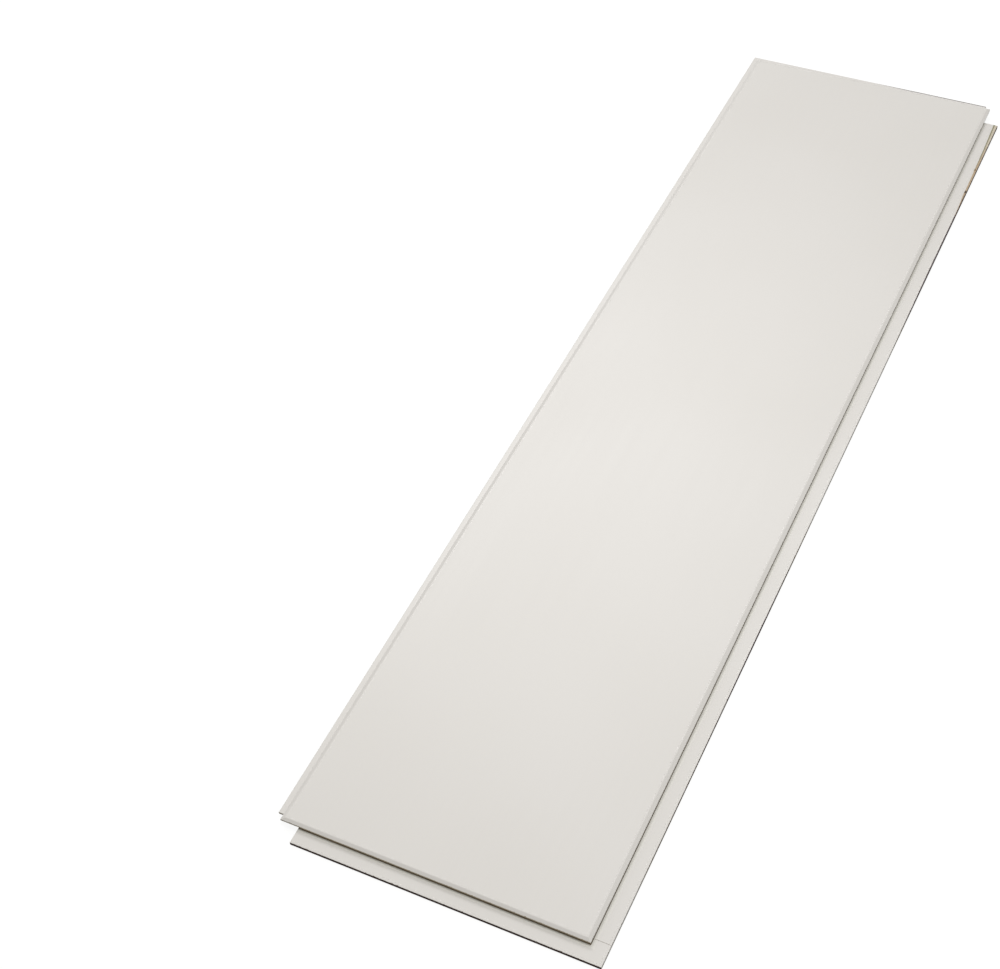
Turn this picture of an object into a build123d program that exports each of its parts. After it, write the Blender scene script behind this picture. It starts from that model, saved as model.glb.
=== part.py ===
"""Ceiling panel machined from one piece of coated MDF, lying face up on its back.

X is the width, Y the length and Z the thickness. The origin is the centre of the covered
rectangle, on the plane of the back. Every edge is worked: the right and near edges have a
groove whose lower lip reaches out past the face as a fixing lip, and the left and far edges
have the tongue that enters such a groove, with a rebate below it for the neighbour's lip.
"""

import os

from build123d import *

# Covered rectangle, from face lip to face lip, and the board's thickness
face_width = 300.0
face_length = 1200.0
thickness = 10.0

# Bevel round the face: half of the V joint between two laid panels, steeper at the ends
side_bevel_width = 3.6
end_bevel_width = 2.8
bevel_depth = 1.6
bevel_crown_radius = 2.0

# Groove edges: the upper lip carries the bevel, the lower lip takes staples or screws
face_lip_thickness = 3.3
groove_depth = 6.5
fixing_lip_thickness = 4.1
side_lip_reach = 16.0
end_lip_reach = 15.0

# The end cutter runs this much deeper and leaves a fine step across the side fixing lip
end_cut_step = 0.3

# Clearances between the edges of two laid panels
tongue_play = 0.1
tongue_tip_gap = 0.5
side_rebate_gap = 1.5
end_rebate_gap = 7.5

# Eased edges
tongue_tip_chamfer = 0.5
lip_arris_radius = 0.4


def edge_section(cover, bevel_width, lip_reach, lip_top, rebate_gap):
    """Section from the tongue edge, at negative u, to the groove edge, with v up from the back."""
    half = cover / 2
    bevel_foot = thickness - bevel_depth
    groove_top = thickness - face_lip_thickness
    groove_root = half - groove_depth
    lip_edge = half + lip_reach
    tongue_tip = -half - groove_depth + tongue_tip_gap
    tongue_top = groove_top - tongue_play
    rebate_top = fixing_lip_thickness + tongue_play
    rebate_wall = -half + lip_reach + rebate_gap
    outline = Polyline(
        (rebate_wall, 0),
        (lip_edge, 0),
        (lip_edge, lip_top),
        (groove_root, lip_top),
        (groove_root, groove_top),
        (half, groove_top),
        (half, bevel_foot),
        (half - bevel_width, thickness),
        (bevel_width - half, thickness),
        (-half, bevel_foot),
        (-half, tongue_top),
        (tongue_tip, tongue_top),
        (tongue_tip, rebate_top),
        (rebate_wall, rebate_top),
        close=True,
    )
    section = make_face(outline)
    tip_corners = section.vertices().group_by(Axis.X)[0]
    section = chamfer(tip_corners, tongue_tip_chamfer)
    lip_arris = section.vertices().group_by(Axis.X)[-1].sort_by(Axis.Y)[-1]
    return fillet(lip_arris, lip_arris_radius)


def ceiling_panel():
    """One board: the part that the two runs of profile share, with the rim of its face crowned."""
    side_lip_top = fixing_lip_thickness
    end_lip_top = fixing_lip_thickness - end_cut_step
    side_section = edge_section(face_width, side_bevel_width, side_lip_reach, side_lip_top, side_rebate_gap)
    end_section = edge_section(face_length, end_bevel_width, end_lip_reach, end_lip_top, end_rebate_gap)
    across_width = Plane.XZ
    along_length = Plane(origin=(0, 0, 0), x_dir=(0, -1, 0), z_dir=(-1, 0, 0))
    bar_half_length = face_length / 2 + end_lip_reach + groove_depth
    bar_half_width = face_width / 2 + side_lip_reach + groove_depth
    side_bar = extrude(across_width * side_section, bar_half_length, both=True)
    end_bar = extrude(along_length * end_section, bar_half_width, both=True)
    board = side_bar & end_bar
    face = board.faces().sort_by(Axis.Z)[-1]
    return fillet(face.edges(), bevel_crown_radius)


os.makedirs("parts", exist_ok=True)
export_step(ceiling_panel(), "parts/ceiling_panel.step")
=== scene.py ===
"""Looks of a coated MDF ceiling panel that lies face up on a pale studio floor."""

import math

import bpy
import numpy as np
from mathutils import Matrix, Vector, noise


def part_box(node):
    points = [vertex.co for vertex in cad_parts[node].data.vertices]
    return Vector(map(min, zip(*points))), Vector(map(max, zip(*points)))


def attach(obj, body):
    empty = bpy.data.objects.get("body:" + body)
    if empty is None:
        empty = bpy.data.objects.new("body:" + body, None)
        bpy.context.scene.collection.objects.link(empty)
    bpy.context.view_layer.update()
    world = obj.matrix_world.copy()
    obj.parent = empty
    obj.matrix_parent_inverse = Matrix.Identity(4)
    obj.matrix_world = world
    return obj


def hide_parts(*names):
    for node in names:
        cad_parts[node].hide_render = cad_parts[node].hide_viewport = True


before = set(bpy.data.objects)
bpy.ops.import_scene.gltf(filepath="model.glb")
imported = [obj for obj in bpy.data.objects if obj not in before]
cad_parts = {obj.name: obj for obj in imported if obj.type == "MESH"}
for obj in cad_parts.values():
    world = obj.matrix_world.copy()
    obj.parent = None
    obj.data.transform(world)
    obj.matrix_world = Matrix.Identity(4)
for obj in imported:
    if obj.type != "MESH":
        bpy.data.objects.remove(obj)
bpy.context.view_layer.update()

MM = 0.001
NODE = "ceiling_panel"
LOW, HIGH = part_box(NODE)

# Sizes of the edge profile, in metres.
TONGUE_REACH = 6.0 * MM
TONGUE_CHAMFER = 0.5 * MM
GROOVE_DEPTH = 6.5 * MM
SIDE_REBATE_GAP = 1.5 * MM
END_REBATE_GAP = 7.5 * MM
SIDE_BEVEL_WIDTH = 3.6 * MM
END_BEVEL_WIDTH = 2.8 * MM
BEVEL_DEPTH = 1.6 * MM
CROWN_RADIUS = 2.0 * MM
LIP_ARRIS = 0.4 * MM
FOOT_ARRIS = 0.2 * MM
BACK_ARRIS = 0.3 * MM
SIDE_WALL = 1.7 * MM
COAT_IN_GROOVE = 0.4 * MM

# Levels of the section, from the back up to the face, in metres above the floor.
BACK, END_LIP_TOP, SIDE_LIP_TOP, REBATE_TOP, TONGUE_TOP, GROOVE_TOP, FACE = range(7)
LEVEL_HEIGHTS = np.array([0.0, 3.8 * MM, 4.1 * MM, 4.2 * MM, 6.6 * MM, 6.7 * MM, HIGH.z])

# The covered rectangle, and how far each fixing lip reaches past it.
HALF_WIDTH = -LOW.x - TONGUE_REACH
HALF_LENGTH = HIGH.y - TONGUE_REACH
SIDE_LIP_REACH = HIGH.x - HALF_WIDTH
END_LIP_REACH = -LOW.y - HALF_LENGTH

# Level gaps that hold board in each zone, from the tongue across the body to the lip.
SIDE_ZONES = ({3}, {3, 4, 5}, {0, 1, 2, 3, 4, 5}, {0, 1, 5}, {0, 1})
END_ZONES = ({3}, {3, 4, 5}, {0, 1, 2, 3, 4, 5}, {0, 5}, {0})

# The strip of bare board along the far end of the side lip: distance from the lip's end, and width.
STRIP_RUN = np.array([0, 25, 50, 80, 88, 91.5, 95, 102, 120, 135, 147, 158, 180]) * MM
STRIP_WIDTH = np.array([4.9, 4.0, 3.4, 2.8, 2.7, 3.1, 2.6, 2.4, 2.1, 2.4, 1.8, 1.2, 0.4]) * MM
STRIP_DEPTH = 0.3 * MM

# Width over which the strip opens, and the least width and share across it that count as bare.
STRIP_OPENING = 0.6 * MM
STRIP_LEAST = 1.2 * LIP_ARRIS
STRIP_START = 0.01

# Ragged inner edge of the strip: how far it wanders, over long waves and shorter, weaker ones.
STRIP_WANDER = 0.22 * MM
LONG_WAVE = 7.0 * MM
SHORT_WAVE = 2.4 * MM
SHORT_WAVE_SHARE = 0.6
SHORT_WAVE_START = 0.02
NOISE_SLICE = 0.37

# Rough floor of the strip: its lumps, and how much of the depth they and the inward rise take.
ROUGH_RUN = 4.0 * MM
ROUGH_ACROSS = 1.4
ROUGH_SIZE = 0.35
ROUGH_SHARE = 0.3
RISE_SHARE = 0.35

# Board that is left between the strip and the lower lip's level.
LIP_CORE = 0.2 * MM

# Chips in the strip, in millimetres: distance from the lip's end, half length, depth, inset from
# the outer edge, and reach across.
CHIPS = (
    (63.0, 2.0, 0.30, 0.0, 1.3),
    (90.0, 2.0, 0.60, 1.7, 0.9),
    (133.0, 3.0, 0.72, 1.2, 1.1),
)
CHIP_FULL_DEPTH = 0.7 * MM

# Along the side lip's outer edge: place along the board, strength of the painted shade on the edge, and
# width of the rubbed rim.
# Painted shade below zero means the edge takes the coat's colour, as coat that was sprayed over it.
LIP_PLACE = np.array([-600, -540, -500, -330, -250, -140, -80, 160, 220, 300, 420]) * MM
LIP_EDGE_SHADE = np.array([-1.0, -0.8, 0.4, 0.8, 1.0, 0.3, -1.0, -0.9, 0.8, 1.0, 1.0])
LIP_RUB = np.array([0.0, 0.0, 0.05, 0.2, 0.45, 0.1, 0.0, 0.0, 0.4, 0.95, 0.9]) * MM
# Width of the end lip's rim, where the coat gives way to board painted dark as shade.
END_LIP_DARK_RIM = 0.22 * MM

# How far the painted shade in the side groove's mouth comes out of it: place along the board, and
# reach.
MOUTH_PLACE = np.array([-600, -300, 0, 570]) * MM
MOUTH_PAINTED_SHADE = np.array([0.32, 0.15, 0.0, -0.4]) * MM

# Rim of the end tongue that is painted dark: place across the board, and width.
TONGUE_PLACE = np.array([-25, 45]) * MM
TONGUE_DARK_RIM = np.array([0.0, 1.5]) * MM

# Spacing of the lattice lines, with one at the strip's inner ledge, as a share of its width.
BODY_STEP = 14.0 * MM
LIP_STEP = 2.0 * MM
STRIP_STEP = 1.2 * MM
STRIP_LEDGE = 0.96
FLAT_MARGIN = 1.0 * MM
CROWN_STEPS = 8
ARRIS_STEPS = 4
LIP_ARRIS_STEPS = 8
SHARP_ANGLE = math.radians(24)

# Differences that count as none, in metres.
SAME_PLACE = 1e-6
SAME_HEIGHT = 1e-7

# The board's materials, in the order of its slots.
COAT, RAW, BARE, SANDED = range(4)


def zone_bounds(half, reach, rebate_gap):
    """Places where the section changes, from the tongue's tip to the lip's outer edge."""
    return [
        -half - TONGUE_REACH,
        -half,
        -half + reach + rebate_gap,
        half - GROOVE_DEPTH,
        half,
        half + reach,
    ]


def arris_offsets(radius, count=ARRIS_STEPS):
    """Distances inside a rounded edge at which its quarter round is sampled."""
    return radius * (1 - np.cos(np.linspace(0.0, math.pi / 2, count + 1)))


def arris_drop(inside, radius):
    """How far a rounded edge falls below its flat at a distance inside the edge."""
    short = np.clip(radius - inside, 0.0, radius)
    return radius - np.sqrt(radius**2 - short**2)


def bevel_slope(width):
    """Angle of a bevel that wide."""
    return math.atan2(BEVEL_DEPTH, width)


def crown_end(width):
    """How far inside the covered edge the flat of the face begins."""
    return width + CROWN_RADIUS * math.tan(bevel_slope(width) / 2)


def bevel_offsets(width):
    """Distances inside the edge that sample the bevel and crown, at like heights for any width."""
    steepest = bevel_slope(min(SIDE_BEVEL_WIDTH, END_BEVEL_WIDTH))
    drops = CROWN_RADIUS * (1 - np.cos(np.linspace(steepest, 0.0, CROWN_STEPS + 1)))
    slope = bevel_slope(width)
    on_crown = crown_end(width) - np.sqrt(CROWN_RADIUS**2 - (CROWN_RADIUS - drops) ** 2)
    on_bevel = (BEVEL_DEPTH - drops) / math.tan(slope)
    offsets = np.where(drops < CROWN_RADIUS * (1 - math.cos(slope)), on_crown, on_bevel)
    return np.concatenate([arris_offsets(FOOT_ARRIS), offsets, [crown_end(width) + FLAT_MARGIN]])


def face_height(inside, width):
    """Height of the face at a distance inside an edge whose bevel is that wide."""
    slope = bevel_slope(width)
    from_flat = np.clip(crown_end(width) - inside, 0.0, CROWN_RADIUS * math.sin(slope))
    crown = HIGH.z - CROWN_RADIUS + np.sqrt(CROWN_RADIUS**2 - from_flat**2)
    bevel = HIGH.z - BEVEL_DEPTH + inside * math.tan(slope)
    return np.minimum(crown, bevel) - arris_drop(inside, FOOT_ARRIS)


def steps(start, end, step):
    """Even steps no longer than the one asked for."""
    return np.linspace(start, end, max(2, math.ceil((end - start) / step) + 1))


def lattice_lines(bounds, bevel_width, lip_arris, extra):
    """Sorted lines across one direction of the board, and the zone of each gap between them."""
    tip, cover_start, wall, root, cover_end, lip_edge = bounds
    bevel = bevel_offsets(bevel_width)
    lines = np.concatenate([
        [tip, tip + TONGUE_CHAMFER / 2, tip + TONGUE_CHAMFER, root, cover_end - COAT_IN_GROOVE],
        cover_start + bevel,
        wall + arris_offsets(BACK_ARRIS),
        steps(cover_start + bevel[-1], cover_end - bevel[-1], BODY_STEP),
        cover_end - bevel,
        steps(cover_end, lip_edge - LIP_ARRIS, LIP_STEP),
        lip_edge - lip_arris,
        extra,
    ])
    lines = np.unique(np.round(lines, 7))
    middles = (lines[1:] + lines[:-1]) / 2
    return lines, np.searchsorted(bounds, middles) - 1


def wander(along, across, size):
    """A smooth random value from -1 to 1, that changes over lengths of about the size given."""
    return noise.noise(Vector((along / size, across / size, NOISE_SLICE)))


def strip_reach(run):
    """Width of the bare strip, or of the lip's plain rounding, at distances from the lip's far end."""
    width = np.interp(run, STRIP_RUN, STRIP_WIDTH)
    long_waves = np.array([wander(r, 0.0, LONG_WAVE) for r in run])
    short_waves = np.array([wander(r, SHORT_WAVE_START, SHORT_WAVE) for r in run])
    ragged = long_waves + SHORT_WAVE_SHARE * short_waves
    width = width + np.where(width > STRIP_WIDTH[-1], STRIP_WANDER * ragged, 0.0)
    return np.maximum(width, LIP_ARRIS)


def strip_open(reach):
    """0 where the lip's edge is whole, 1 where the strip is fully open."""
    share = np.clip((reach - LIP_ARRIS) / STRIP_OPENING, 0.0, 1.0)
    return share * share * (3 - 2 * share)


def chip_depths(run, inside):
    """Depth of the chips at a distance from the lip's far end and a distance inside its outer edge."""
    total = np.zeros(inside.shape)
    for place, half, depth, inset, reach in CHIPS:
        along, across = (run / MM - place) / half, (inside / MM - inset) / reach
        total = total + depth * MM * np.exp(-along**2 - across**2)
    return total


class Lattice:
    """Lines across and along the board, and every level's surface over them."""

    def __init__(self):
        side = zone_bounds(HALF_WIDTH, SIDE_LIP_REACH, SIDE_REBATE_GAP)
        end = zone_bounds(HALF_LENGTH, END_LIP_REACH, END_REBATE_GAP)
        lip_arris = arris_offsets(LIP_ARRIS, LIP_ARRIS_STEPS)
        ledge = [side[5] - STRIP_LEDGE * LIP_ARRIS]
        strip = steps(end[2], end[2] + STRIP_RUN[-1] + STRIP_STEP, STRIP_STEP)
        self.u, side_zone = lattice_lines(side, SIDE_BEVEL_WIDTH, lip_arris, ledge)
        self.v, end_zone = lattice_lines(end, END_BEVEL_WIDTH, arris_offsets(LIP_ARRIS), strip)
        self.run = self.v - end[2]
        self.reach = strip_reach(self.run)
        held_side = np.array([[gap in zone for gap in range(FACE)] for zone in SIDE_ZONES])
        held_end = np.array([[gap in zone for gap in range(FACE)] for zone in END_ZONES])
        self.board = held_side[side_zone][:, None, :] & held_end[end_zone][None, :, :]
        self.measure(side, end)
        self.shape_lip(side)

    def measure(self, side, end):
        """Takes each place's distances from the edges, and from them its heights, its wear and its
        painted light and shade.
        """
        u, v = self.u[:, None], self.v[None, :]
        in_side = np.minimum(u - side[1], side[4] - u)
        in_end = np.minimum(v - end[1], end[4] - v)
        tip = np.minimum(u - side[0], v - end[0])
        lip_edge = np.minimum(side[5] - u, end[5] - v)
        back_edge = np.minimum(np.minimum(u - side[2], v - end[2]), lip_edge)
        self.shape = (len(self.u), len(self.v), len(LEVEL_HEIGHTS))
        self.x = np.broadcast_to(self.u[:, None, None], self.shape).copy()
        self.set_heights(in_side, in_end, tip, lip_edge, back_edge)
        self.set_edges(in_side, in_end, tip, lip_edge)
        self.set_mouth_shade(u - side[4], v - end[4])
        self.shade_and_rim_edges(side[5] - u, end[5] - v, lip_edge, (u > side[4]) | (v > end[4]))

    def set_heights(self, in_side, in_end, tip, lip_edge, back_edge):
        """Heights of all levels, with their bevels, chamfers and rounded edges."""
        chamfer = np.clip(TONGUE_CHAMFER - tip, 0.0, TONGUE_CHAMFER)
        side_face = face_height(in_side, SIDE_BEVEL_WIDTH)
        end_face = face_height(in_end, END_BEVEL_WIDTH)
        self.height = np.broadcast_to(LEVEL_HEIGHTS, self.shape).copy()
        self.height[..., BACK] += arris_drop(back_edge, BACK_ARRIS)
        self.height[..., TONGUE_TOP] -= chamfer
        self.height[..., REBATE_TOP] += chamfer
        self.height[..., END_LIP_TOP] -= arris_drop(lip_edge, LIP_ARRIS)
        self.height[..., FACE] = np.minimum(side_face, end_face)

    def set_edges(self, in_side, in_end, tip, lip_edge):
        """How far inside the coat's edge each place is, on the levels that have one."""
        self.edge = np.zeros(self.shape)
        self.edge[..., TONGUE_TOP] = tip
        self.edge[..., END_LIP_TOP] = lip_edge
        self.edge[..., FACE] = np.minimum(in_side + SIDE_WALL, in_end)

    def set_mouth_shade(self, past_side, past_end):
        """How far each place on the lips is from the painted shade in the side groove's mouth."""
        past_mouth_shade = past_side - np.interp(-self.v, MOUTH_PLACE, MOUTH_PAINTED_SHADE)[None, :]
        self.beside = np.full(self.shape, HALF_WIDTH)
        self.beside[..., [END_LIP_TOP, SIDE_LIP_TOP]] = np.maximum(past_mouth_shade, past_end)[..., None]

    def shade_and_rim_edges(self, from_side, from_end, lip_edge, on_lip):
        """Painted shade on the lips' outer edges, and the width of the rims along the lips and the end
        tongue where the coat gives way to darker board.
        """
        on_side = from_side <= from_end
        edge_shade = np.where(on_side, np.interp(-self.v, LIP_PLACE, LIP_EDGE_SHADE)[None, :], 1.0)
        rim_width = np.where(on_side, np.interp(-self.v, LIP_PLACE, LIP_RUB)[None, :], END_LIP_DARK_RIM)
        outside = np.isclose(lip_edge, 0.0, atol=SAME_PLACE)
        self.edge_shade = np.broadcast_to(np.where(outside, edge_shade, 0.0)[..., None], self.shape)
        self.rim_width = np.broadcast_to(np.where(on_lip, rim_width, 0.0)[..., None], self.shape).copy()
        self.rim_width[..., TONGUE_TOP] = np.interp(self.u, TONGUE_PLACE, TONGUE_DARK_RIM)[:, None]

    def shape_lip(self, side):
        """Opens the rounding of the side lip's outer edge into the bare strip, and chips that edge."""
        cover_end, lip_edge = side[4:]
        across = np.clip((lip_edge - self.u) / LIP_ARRIS, 0.0, 1.0)[:, None]
        on_lip = self.u[:, None] > cover_end
        self.x[..., SIDE_LIP_TOP] = np.where(on_lip, self.warp(across, side), self.u[:, None])
        inside = lip_edge - self.x[..., SIDE_LIP_TOP]
        trimmed = np.where(across < 1, self.strip_floor(across), 0.0)
        chips = chip_depths(self.run[None, :], inside) * on_lip
        self.height[..., SIDE_LIP_TOP] -= arris_drop(inside, LIP_ARRIS) + trimmed + chips
        ceiling = self.height[..., SIDE_LIP_TOP] - LIP_CORE
        self.height[..., END_LIP_TOP] = np.minimum(self.height[..., END_LIP_TOP], ceiling)
        self.edge[..., SIDE_LIP_TOP] = inside
        self.chip = np.zeros(self.shape)
        self.chip[..., SIDE_LIP_TOP] = np.clip(chips / CHIP_FULL_DEPTH, 0.0, 1.0)
        self.strip = np.zeros(self.shape)
        self.strip[..., SIDE_LIP_TOP] = 1 - across

    def warp(self, across, side):
        """Places across the side lip, with the lines of its rounding spread over the strip."""
        cover_end, lip_edge = side[4:]
        flat = lip_edge - LIP_ARRIS - cover_end
        share = np.clip((self.u - cover_end) / flat, 0.0, 1.0)[:, None]
        inner = lip_edge - self.reach[None, :]
        on_strip = lip_edge - across * self.reach
        on_flat = cover_end + share * (inner - cover_end)
        return np.where(across < 1, on_strip, on_flat)

    def strip_floor(self, across):
        """Depth of the strip's rough floor, none where the lip's edge is whole."""
        lanes, lumps = across[:, 0] * ROUGH_ACROSS, self.run / ROUGH_RUN
        rough = np.array([[wander(lump, lane, ROUGH_SIZE) for lump in lumps] for lane in lanes])
        bare = STRIP_DEPTH * (1 - RISE_SHARE * across + ROUGH_SHARE * rough)
        return bare * strip_open(self.reach)[None, :]

    def wear_and_painted_light(self):
        """The numbers at each place that the materials read, by name: wear, and where light and shade
        are painted.
        """
        return {
            "edge_distance": self.edge,
            "strip_across": self.strip,
            "chip": self.chip,
            "edge_shade": self.edge_shade,
            "rim_width": self.rim_width,
            "beside_slot": self.beside,
        }

    def faces(self):
        """Outer faces of the cells that hold board, as lattice corners, and each one's material."""
        padded = np.pad(self.board, 1)
        square = {0: ((0, 0, 0), (0, 1, 0), (0, 1, 1), (0, 0, 1)),
                  1: ((0, 0, 0), (0, 0, 1), (1, 0, 1), (1, 0, 0)),
                  2: ((0, 0, 0), (1, 0, 0), (1, 1, 0), (0, 1, 0))}
        corners, kinds = [], []
        for axis, ring in square.items():
            inside = [slice(1, -1)] * 3
            inside[axis] = slice(None)
            cells = padded[tuple(inside)]
            before = np.take(cells, range(cells.shape[axis] - 1), axis)
            after = np.take(cells, range(1, cells.shape[axis]), axis)
            for outward, sense in ((True, before & ~after), (False, after & ~before)):
                places = np.argwhere(sense)
                order = ring[::-1] if outward else ring
                corners.append(places[:, None, :] + np.array(order)[None])
                kinds.append(self.kinds(places, axis, outward))
        return np.concatenate(corners), np.concatenate(kinds)

    def kinds(self, places, axis, outward):
        """Material numbers of the faces that look one way."""
        if axis == 2:
            return self.top_kinds(places) if outward else np.where(places[:, 2] == BACK, SANDED, RAW)
        if axis == 0:
            at_cover = np.isclose(np.abs(self.u[places[:, 0]]), HALF_WIDTH, atol=SAME_PLACE)
            return np.where(at_cover & (places[:, 2] >= TONGUE_TOP), COAT, RAW)
        return np.full(len(places), RAW)

    def top_kinds(self, places):
        """Material numbers of the faces that look up: bare strip, raw groove floors, coat elsewhere."""
        i, j, k = places.T
        roofed = np.array([self.board[a, b, c:].any() for a, b, c in places])
        mouth = -COAT_IN_GROOVE - SAME_PLACE
        deep = (self.u[i] < HALF_WIDTH + mouth) & (self.v[j] < HALF_LENGTH + mouth)
        strip = self.strip[..., SIDE_LIP_TOP]
        in_strip = (k == SIDE_LIP_TOP) & (strip[i, j] + strip[i + 1, j] > STRIP_START)
        next_j = np.minimum(j + 1, len(self.v) - 1)
        in_strip &= np.minimum(self.reach[j], self.reach[next_j]) > STRIP_LEAST
        return np.where(roofed & deep, RAW, np.where(in_strip, BARE, COAT))


def split_along_mitres(corners, kinds, height):
    """Cuts each uneven square of the face into two triangles along its steeper diagonal."""
    z = height[tuple(np.moveaxis(corners, -1, 0))]
    on_face = (corners[..., 2] == FACE).all(axis=1)
    uneven = on_face & (np.abs(z[:, 0] + z[:, 2] - z[:, 1] - z[:, 3]) > SAME_HEIGHT)
    first_steeper = np.abs(z[:, 0] - z[:, 2]) >= np.abs(z[:, 1] - z[:, 3])
    polygons, numbers = [c for c in corners[~uneven]], list(kinds[~uneven])
    for ring, first, kind in zip(corners[uneven], first_steeper[uneven], kinds[uneven]):
        turned = ring if first else np.roll(ring, -1, axis=0)
        polygons += [turned[[0, 1, 2]], turned[[0, 2, 3]]]
        numbers += [kind, kind]
    return polygons, numbers


def add_measure(mesh, name, values):
    """A number at each point of the mesh, for its materials to read."""
    mesh.attributes.new(name, "FLOAT", "POINT").data.foreach_set("value", values.astype(np.float32))


def board_mesh(lattice, materials):
    """One closed mesh: board wherever both edge profiles have board, with its wear and painted light
    and shade at each point.
    """
    polygons, numbers = split_along_mitres(*lattice.faces(), lattice.height)
    keys = [np.ravel_multi_index(ring.T, lattice.shape) for ring in polygons]
    used, compact = np.unique(np.concatenate(keys), return_inverse=True)
    ends = np.cumsum([len(ring) for ring in keys])[:-1]
    i, j, k = np.unravel_index(used, lattice.shape)
    points = np.stack([lattice.x[i, j, k], -lattice.v[j], lattice.height[i, j, k]], axis=1)
    mesh = bpy.data.meshes.new("panel_board")
    mesh.from_pydata(points.tolist(), [], [ring.tolist() for ring in np.split(compact, ends)])
    for material in materials:
        mesh.materials.append(material)
    mesh.polygons.foreach_set("material_index", np.array(numbers, np.int32))
    add_measure(mesh, "strip_run", np.clip(lattice.run[j] / STRIP_RUN[-1], 0.0, 1.0))
    for name, values in lattice.wear_and_painted_light().items():
        add_measure(mesh, name, values[i, j, k])
    return mesh


def make_board(materials):
    """The panel, in place of its CAD solid."""
    mesh = board_mesh(Lattice(), materials)
    mesh.shade_smooth()
    mesh.set_sharp_from_angle(angle=SHARP_ANGLE)
    mesh.validate()
    board = bpy.data.objects.new("panel_board", mesh)
    bpy.context.scene.collection.objects.link(board)
    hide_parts(NODE)
    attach(board, "root")


# Numbers of the colour sockets on a mix node.
MIX_FIRST, MIX_SECOND, MIX_RESULT = 6, 7, 2


class Finish:
    """A node material being made, with short ways to add its texture nodes."""

    def __init__(self, name, roughness, specular):
        self.material = bpy.data.materials.new(name)
        self.material.use_nodes = True
        self.nodes = self.material.node_tree.nodes
        self.links = self.material.node_tree.links
        self.shader = self.nodes["Principled BSDF"]
        self.shader.inputs["Roughness"].default_value = roughness
        self.shader.inputs["Specular IOR Level"].default_value = specular
        self.place = self.nodes.new("ShaderNodeTexCoord").outputs["Object"]

    def put(self, value, socket):
        """Links another node's output to a socket, or sets a plain value on it."""
        if isinstance(value, bpy.types.NodeSocket):
            self.links.new(value, socket)
        else:
            socket.default_value = value

    def noise(self, grain, detail=2.0, stretch=(1, 1, 1), turn=0.0):
        """Noise with lumps of about that size in metres, longer where they are stretched."""
        mapping = self.nodes.new("ShaderNodeMapping")
        mapping.vector_type = "TEXTURE"
        mapping.inputs["Rotation"].default_value = (0, 0, turn)
        mapping.inputs["Scale"].default_value = [grain * s for s in stretch]
        self.links.new(self.place, mapping.inputs["Vector"])
        texture = self.nodes.new("ShaderNodeTexNoise")
        texture.inputs["Scale"].default_value = 1.0
        texture.inputs["Detail"].default_value = detail
        self.links.new(mapping.outputs["Vector"], texture.inputs["Vector"])
        return texture.outputs["Fac"]

    def measure(self, name):
        """A number that the mesh carries at each point."""
        attribute = self.nodes.new("ShaderNodeAttribute")
        attribute.attribute_name = name
        return attribute.outputs["Fac"]

    def height(self):
        """Height above the floor, in metres."""
        split = self.nodes.new("ShaderNodeSeparateXYZ")
        self.links.new(self.place, split.inputs["Vector"])
        return split.outputs["Z"]

    def math(self, operation, first, second=0.0):
        """One sum on numbers or sockets."""
        node = self.nodes.new("ShaderNodeMath")
        node.operation = operation
        self.put(first, node.inputs[0])
        self.put(second, node.inputs[1])
        return node.outputs["Value"]

    def spread(self, value, low, high, start=0.0, end=1.0):
        """Stretches the span from low to high smoothly over start to end, and holds beyond it."""
        node = self.nodes.new("ShaderNodeMapRange")
        node.interpolation_type = "SMOOTHSTEP"
        for name, number in (("From Min", low), ("From Max", high), ("To Min", start), ("To Max", end)):
            self.put(number, node.inputs[name])
        self.put(value, node.inputs["Value"])
        return node.outputs["Result"]

    def mix(self, share, first, second):
        """A colour that share of the way from the first to the second."""
        node = self.nodes.new("ShaderNodeMix")
        node.data_type = "RGBA"
        self.put(share, node.inputs["Factor"])
        for value, socket in ((first, node.inputs[MIX_FIRST]), (second, node.inputs[MIX_SECOND])):
            self.put(value if isinstance(value, bpy.types.NodeSocket) else (*value, 1.0), socket)
        return node.outputs[MIX_RESULT]

    def bump(self, height, distance, strength=1.0, below=None):
        """Fine relief, on top of any that comes below it."""
        node = self.nodes.new("ShaderNodeBump")
        node.inputs["Distance"].default_value = distance
        node.inputs["Strength"].default_value = strength
        self.links.new(height, node.inputs["Height"])
        if below is not None:
            self.links.new(below, node.inputs["Normal"])
        return node.outputs["Normal"]

    def finish(self, colour, normal, roughness):
        """Joins the colour, relief and roughness to the shader."""
        self.links.new(colour, self.shader.inputs["Base Color"])
        self.links.new(normal, self.shader.inputs["Normal"])
        self.links.new(roughness, self.shader.inputs["Roughness"])
        return self.material


# Colours of the coat and of the board under it, and of painted light and shade, as linear red, green
# and blue.
COAT_PALE = (0.761, 0.739, 0.721)
COAT_DEEP = (0.739, 0.715, 0.692)
# Lighter coat for the lips beside the slots: painted light where the face lip shades them.
COAT_PAINTED_LIGHT = (0.876, 0.860, 0.818)
COAT_ROUGHNESS = 0.365
BOARD_TAN = (0.345, 0.290, 0.215)
BOARD_BROWN = (0.215, 0.174, 0.125)
BOARD_STRAW = (0.470, 0.395, 0.285)
BOARD_DARK = (0.060, 0.045, 0.038)
BACK_TAN = (0.440, 0.318, 0.200)
BACK_BROWN = (0.315, 0.218, 0.130)
BACK_STRAW = (0.520, 0.395, 0.260)
# Near-black red-brown: painted shade on the lips' outer edges and wide rubbed rims, and the end
# tongue's dark rim.
EDGE_DARK = (0.060, 0.036, 0.034)
STRIP_CREAM = (0.650, 0.590, 0.485)
STRIP_TAN = (0.535, 0.418, 0.295)
STRIP_OLIVE = (0.300, 0.280, 0.185)


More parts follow.
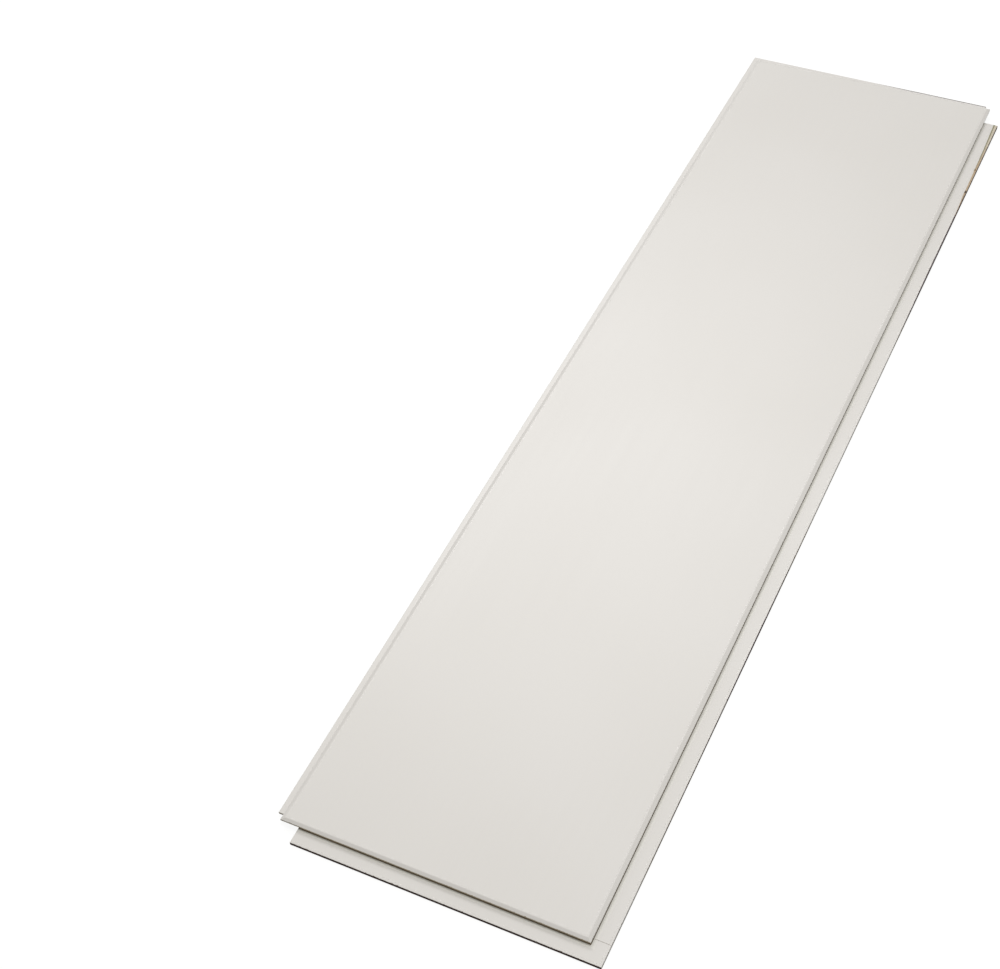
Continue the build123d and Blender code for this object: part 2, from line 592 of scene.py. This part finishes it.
def coat_material():
    """Satin off-white coat with faint grain and roller lines, nicked and rubbed along its edges, with
    painted light beside the slots and painted shade in the side groove's mouth and on wide rubbed rims.
    """
    coat = Finish("satin_coat", COAT_ROUGHNESS, 0.5)
    drift = coat.noise(0.22, 1.0)
    film = coat.noise(3.2 * MM, 2.0, (1, 60, 1))
    grain = coat.noise(0.55 * MM, 3.0)
    tone = coat.math("ADD", coat.math("MULTIPLY", drift, 0.6), 0.10)
    tone = coat.math("ADD", tone, coat.math("MULTIPLY", film, 0.12))
    tone = coat.math("ADD", tone, coat.math("MULTIPLY", grain, 0.13))
    colour = coat.mix(coat.spread(tone, 0.30, 0.70), COAT_DEEP, COAT_PALE)
    beside = coat.measure("beside_slot")
    # Painted light: the lips' coat turns lighter within a few millimetres of the slot, against the face
    # lip's shade.
    colour = coat.mix(coat.spread(beside, 4.2 * MM, 1.6 * MM), colour, COAT_PAINTED_LIGHT)
    # Painted shade: brown on the coat in the side groove's mouth.
    colour = coat.mix(coat.spread(beside, 0.0, -0.3 * MM), colour, BOARD_BROWN)
    nicks = coat.math("MULTIPLY", coat.spread(coat.noise(2.2 * MM, 3.0), 0.52, 0.80), 0.5 * MM)
    rim_width = coat.measure("rim_width")
    bare = coat.math("SUBTRACT", coat.math("ADD", nicks, rim_width), coat.measure("edge_distance"))
    # Narrow rims show tan board, wider ones near-black: painted shade on the worn lip edges, and the
    # end tongue's dark rim.
    under = coat.mix(coat.spread(rim_width, 0.05 * MM, 0.3 * MM), BOARD_TAN, EDGE_DARK)
    colour = coat.mix(coat.spread(bare, 0.0, 0.12 * MM), colour, under)
    relief = coat.bump(grain, 0.02 * MM, 0.6, coat.bump(film, 0.03 * MM, 0.18))
    satin = coat.math("ADD", coat.math("MULTIPLY", film, 0.5), grain)
    roughness = coat.spread(satin, 0.5, 1.0, COAT_ROUGHNESS - 0.03, COAT_ROUGHNESS + 0.03)
    return coat.finish(colour, relief, roughness)


def board_tones(board, brown=BOARD_BROWN, tan=BOARD_TAN):
    """Fibres of raw MDF: colour and relief of short matted strands."""
    clumps = board.noise(1.6 * MM, 4.0)
    strands = board.noise(0.35 * MM, 2.0, (1, 7, 1), math.radians(24))
    cross_strands = board.noise(0.35 * MM, 2.0, (1, 6, 1), math.radians(-52))
    specks = board.noise(0.5 * MM, 1.0)
    fibres = board.math("MAXIMUM", strands, cross_strands)
    colour = board.mix(board.spread(clumps, 0.3, 0.72), brown, tan)
    colour = board.mix(board.spread(fibres, 0.60, 0.78, 0.0, 0.55), colour, BOARD_STRAW)
    colour = board.mix(board.spread(specks, 0.66, 0.76, 0.0, 0.6), colour, BOARD_DARK)
    relief = board.bump(fibres, 0.12 * MM, 0.7, board.bump(clumps, 0.2 * MM, 0.5))
    return colour, relief


def cut_material():
    """Raw MDF where the board is cut, with painted shade darkening the lips' outer edges."""
    board = Finish("cut_mdf", 0.85, 0.05)
    colour, relief = board_tones(board)
    blotches = board.noise(14 * MM, 3.0)
    colour = board.mix(board.spread(board.height(), 4.6 * MM, 6.4 * MM, 0.0, 0.75), colour, BOARD_STRAW)
    # Painted shade: the lips' outer edges turn near-black in blotches, or take the coat's colour where
    # the painted shade is below zero.
    edge_shade = board.math("MULTIPLY", board.measure("edge_shade"), board.spread(blotches, 0.2, 0.6, 0.8, 1.0))
    colour = board.mix(board.spread(edge_shade, 0.0, -1.0), colour, COAT_DEEP)
    colour = board.mix(board.spread(edge_shade, 0.0, 1.0), colour, EDGE_DARK)
    roughness = board.spread(blotches, 0.3, 0.7, 0.78, 0.92)
    return board.finish(colour, relief, roughness)


def sanded_material():
    """Raw MDF back, sanded along the board's length, with soft drifts of tone."""
    board = Finish("sanded_mdf", 0.8, 0.2)
    colour, relief = board_tones(board, BACK_BROWN, BACK_TAN)
    drift = board.noise(45 * MM, 3.0)
    sanding = board.noise(0.8 * MM, 2.0, (1, 220, 1))
    colour = board.mix(board.spread(sanding, 0.35, 0.7, 0.0, 0.25), colour, BACK_BROWN)
    colour = board.mix(board.spread(drift, 0.35, 0.7, 0.0, 0.3), colour, BACK_STRAW)
    relief = board.bump(sanding, 0.05 * MM, 0.5, relief)
    roughness = board.spread(drift, 0.3, 0.7, 0.72, 0.88)
    return board.finish(colour, relief, roughness)


def bare_material():
    """The bare strip: pale skin that turns to tan, an olive line along the coat, chips, and a painted
    shade as a dark rim along its outer edge.
    """
    strip = Finish("bare_strip", 0.8, 0.2)
    fibre_colour, relief = board_tones(strip)
    ragged = strip.math("MULTIPLY", strip.math("SUBTRACT", strip.noise(1.8 * MM, 3.0), 0.5), 0.4)
    across = strip.math("ADD", strip.measure("strip_across"), ragged)
    run = strip.math("ADD", strip.measure("strip_run"), strip.math("MULTIPLY", ragged, 0.8))
    colour = strip.mix(strip.spread(run, 0.18, 0.42), STRIP_CREAM, STRIP_TAN)
    worn = strip.spread(strip.noise(2.5 * MM, 3.0), 0.55, 0.75, 0.0, 0.5)
    colour = strip.mix(worn, colour, fibre_colour)
    line = strip.math("MULTIPLY", strip.spread(across, 0.42, 0.28), strip.spread(run, 0.55, 0.35))
    colour = strip.mix(line, colour, STRIP_OLIVE)
    rim = strip.math("ADD", across, strip.spread(run, 0.72, 0.9, 0.0, 0.55))
    # Painted shade: a dark rim along the strip's outer edge.
    colour = strip.mix(strip.spread(rim, 0.84, 1.0, 0.0, 0.8), colour, EDGE_DARK)
    colour = strip.mix(strip.spread(strip.measure("chip"), 0.25, 0.7, 0.0, 0.9), colour, BOARD_DARK)
    roughness = strip.spread(ragged, -0.2, 0.2, 0.7, 0.9)
    return strip.finish(colour, relief, roughness)


# The camera, fitted to the photograph.
IMAGE_WIDTH = 1000
IMAGE_HEIGHT = 969
FOCAL_PIXELS = 1780.2
CENTRE_PIXEL = (536.1, 481.1)
SENSOR = 36.0
CAMERA_PLACE = Vector((0.4817, -1.2075, 1.3660))
CAMERA_AZIMUTH = math.radians(29.285)
CAMERA_ELEVATION = math.radians(48.358)
CAMERA_ROLL = math.radians(5.566)


def make_camera():
    """The camera at the photograph's place, turn and framing."""
    flat = math.cos(CAMERA_ELEVATION)
    level = Vector((-math.sin(CAMERA_AZIMUTH), math.cos(CAMERA_AZIMUTH), 0))
    forward = level * flat + Vector((0, 0, -math.sin(CAMERA_ELEVATION)))
    right = forward.cross(Vector((0, 0, 1))).normalized()
    up = right.cross(forward)
    turned_right = right * math.cos(CAMERA_ROLL) - up * math.sin(CAMERA_ROLL)
    turned_up = up * math.cos(CAMERA_ROLL) + right * math.sin(CAMERA_ROLL)
    data = bpy.data.cameras.new("camera")
    data.sensor_width = SENSOR
    data.lens = SENSOR * FOCAL_PIXELS / IMAGE_WIDTH
    data.shift_x = (IMAGE_WIDTH / 2 - CENTRE_PIXEL[0]) / IMAGE_WIDTH
    data.shift_y = (CENTRE_PIXEL[1] - IMAGE_HEIGHT / 2) / IMAGE_WIDTH
    camera = bpy.data.objects.new("camera", data)
    turn = Matrix((turned_right, turned_up, -forward)).transposed()
    camera.matrix_world = Matrix.Translation(CAMERA_PLACE) @ turn.to_4x4()
    bpy.context.scene.collection.objects.link(camera)
    bpy.context.scene.camera = camera


def shows_background(nodes, links):
    """1 for rays from the camera or off gloss and glass, 0 for the rays that light the object."""
    path = nodes.new("ShaderNodeLightPath")
    total = path.outputs["Is Camera Ray"]
    for other in ("Is Glossy Ray", "Is Transmission Ray"):
        most = nodes.new("ShaderNodeMath")
        most.operation = "MAXIMUM"
        links.new(total, most.inputs[0])
        links.new(path.outputs[other], most.inputs[1])
        total = most.outputs[0]
    return total


# The studio: a floor that shows white to the camera, an even sky and two softboxes.
FLOOR_COLOUR = (0.16, 0.16, 0.16, 1)
FLOOR_LIFT = 0.9
FLOOR_SIZE = 30.0
FLOOR_GAP = 0.1 * MM
SKY_STRENGTH = 0.445
SKY_COLOUR = (1.0, 0.985, 0.92)

# Softboxes: name, place, aim and size in metres, and power in watts.
SOFTBOXES = (
    ("far_softbox", (-1.755, 2.477, 3.392), (-0.15, 0, 0), (2.307, 1.38), 62.3),
    ("top_softbox", (0.303, -0.255, 1.837), (0.303, -0.255, 0), (0.463, 0.463), 9.6),
)


def make_floor():
    """A plain white floor that keeps the panel's soft shadow."""
    floor_finish = Finish("floor", 1.0, 0.0)
    nodes, links, shader = floor_finish.nodes, floor_finish.links, floor_finish.shader
    shader.inputs["Base Color"].default_value = FLOOR_COLOUR
    shader.inputs["Emission Color"].default_value = (1, 1, 1, 1)
    lift = floor_finish.math("MULTIPLY", shows_background(nodes, links), FLOOR_LIFT)
    links.new(lift, shader.inputs["Emission Strength"])
    mesh = bpy.data.meshes.new("floor")
    half = FLOOR_SIZE / 2
    corners = [(-half, -half, 0), (half, -half, 0), (half, half, 0), (-half, half, 0)]
    mesh.from_pydata(corners, [], [(0, 1, 2, 3)])
    mesh.materials.append(floor_finish.material)
    floor = bpy.data.objects.new("floor", mesh)
    floor.location.z = LOW.z - FLOOR_GAP
    bpy.context.scene.collection.objects.link(floor)


def make_world():
    """Even sky light, white where the background shows."""
    world = bpy.data.worlds.new("studio")
    world.use_nodes = True
    nodes, links = world.node_tree.nodes, world.node_tree.links
    shown = shows_background(nodes, links)
    strength = nodes.new("ShaderNodeMapRange")
    strength.inputs["To Min"].default_value = SKY_STRENGTH
    strength.inputs["To Max"].default_value = 1.0
    links.new(shown, strength.inputs["Value"])
    tint = nodes.new("ShaderNodeMix")
    tint.data_type = "RGBA"
    tint.inputs[MIX_FIRST].default_value = (*SKY_COLOUR, 1)
    tint.inputs[MIX_SECOND].default_value = (1, 1, 1, 1)
    links.new(shown, tint.inputs["Factor"])
    background = nodes["Background"]
    links.new(tint.outputs[MIX_RESULT], background.inputs["Color"])
    links.new(strength.outputs["Result"], background.inputs["Strength"])
    bpy.context.scene.world = world


def make_softbox(name, place, aim, size, power):
    """A rectangular studio light, turned to its aim."""
    data = bpy.data.lights.new(name, "AREA")
    data.shape = "RECTANGLE"
    data.size, data.size_y = size
    data.energy = power
    light = bpy.data.objects.new(name, data)
    light.location = place
    light.rotation_euler = (Vector(aim) - Vector(place)).to_track_quat("-Z", "Y").to_euler()
    bpy.context.scene.collection.objects.link(light)


make_board([coat_material(), cut_material(), bare_material(), sanded_material()])
make_camera()
make_floor()
make_world()
for softbox in SOFTBOXES:
    make_softbox(*softbox)
bpy.context.scene.view_settings.view_transform = "Standard"
